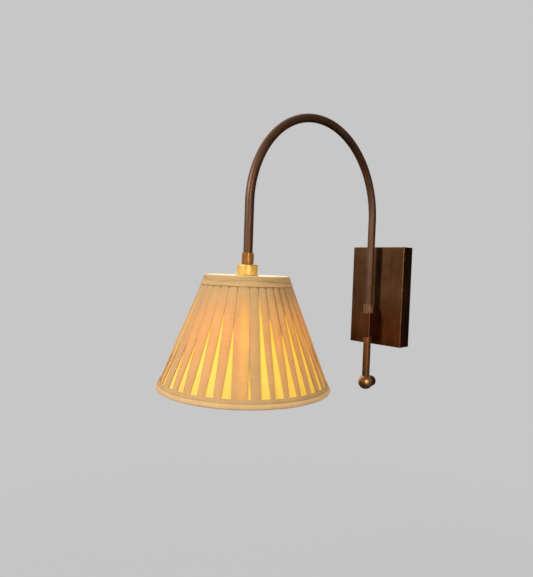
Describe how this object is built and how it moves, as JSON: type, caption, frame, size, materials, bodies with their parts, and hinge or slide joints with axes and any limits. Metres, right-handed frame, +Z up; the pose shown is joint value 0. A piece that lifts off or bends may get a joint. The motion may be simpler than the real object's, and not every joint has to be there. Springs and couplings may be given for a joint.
{
  "type": "swing arm wall sconce",
  "caption": "Wall lamp with a rectangular backplate, an arched tube arm that swings on a vertical post, and a pleated cone shade hung under a small lampholder.",
  "frame": {"origin": "centre of the backplate's back, on the wall, which is also the centre of the wall screws", "axes": "+Y into the wall, -Y out into the room along the arm at rest, +X to the right for a person facing the wall, +Z up"},
  "size_m": [0.203, 0.3835, 0.3776],
  "materials": {
    "bronze": "dark bronze patina, satin, a little rubbed on the edges",
    "brass": "satin brass",
    "zinc_steel": "zinc plated",
    "nickel": "nickel plated",
    "white_plastic": "moulded",
    "dark_plastic": "moulded",
    "flex_sheath": "smooth sheath",
    "porcelain": "glazed",
    "opal_glass": "opal",
    "shade_wire": "white epoxy coated wire",
    "lining_cloth": "plain weave",
    "pleat_cloth": "plain weave, box pleated",
    "binding_cloth": "plain weave, folded on the bias"
  },
  "bodies": {
    "wall_mount": {"backplate": "bronze", "wall_bracket": "zinc_steel", "bracket_screws": "bronze", "earth_screw": "brass", "terminal_block": "white_plastic", "terminal_screws": "zinc_steel", "pivot_block": "bronze", "block_screws": "zinc_steel", "upper_bush": "bronze", "lower_bush": "bronze", "swing_stop": "zinc_steel", "drag_pad": "white_plastic", "drag_screw": "bronze", "base_flex": "flex_sheath"},
    "arm": {"pivot_post": "bronze", "post_collar": "bronze", "collar_screw": "bronze", "arm_tube": "bronze", "arm_coupler": "bronze", "holder_nipple": "brass", "lampholder_cap": "brass", "lampholder_barrel": "brass", "lampholder_core": "porcelain", "screw_shell": "brass", "centre_contact": "brass", "bulb_base": "nickel", "bulb_skirt": "white_plastic", "bulb_globe": "opal_glass", "clamp_ring": "brass", "shade_frame": "shade_wire", "shade_spider": "shade_wire", "shade_lining": "lining_cloth", "shade_pleats": "pleat_cloth", "top_binding": "binding_cloth", "bottom_binding": "binding_cloth", "ball_finial": "bronze", "switch_cartridge": "dark_plastic", "arm_flex": "flex_sheath"},
    "switch": {"switch_spindle": "brass", "switch_key": "bronze"}
  },
  "joints": [
    {"name": "arm_swing", "type": "hinge", "parent": "wall_mount", "child": "arm", "pos_m": [0, -0.04, -0.0425], "axis": [0, 0, 1], "range_deg": [-70, 70]},
    {"name": "switch_turn", "type": "hinge", "parent": "arm", "child": "switch", "pos_m": [0, -0.04, -0.129], "axis": [0, 1, 0], "range_deg": [0, 90]}
  ]
}
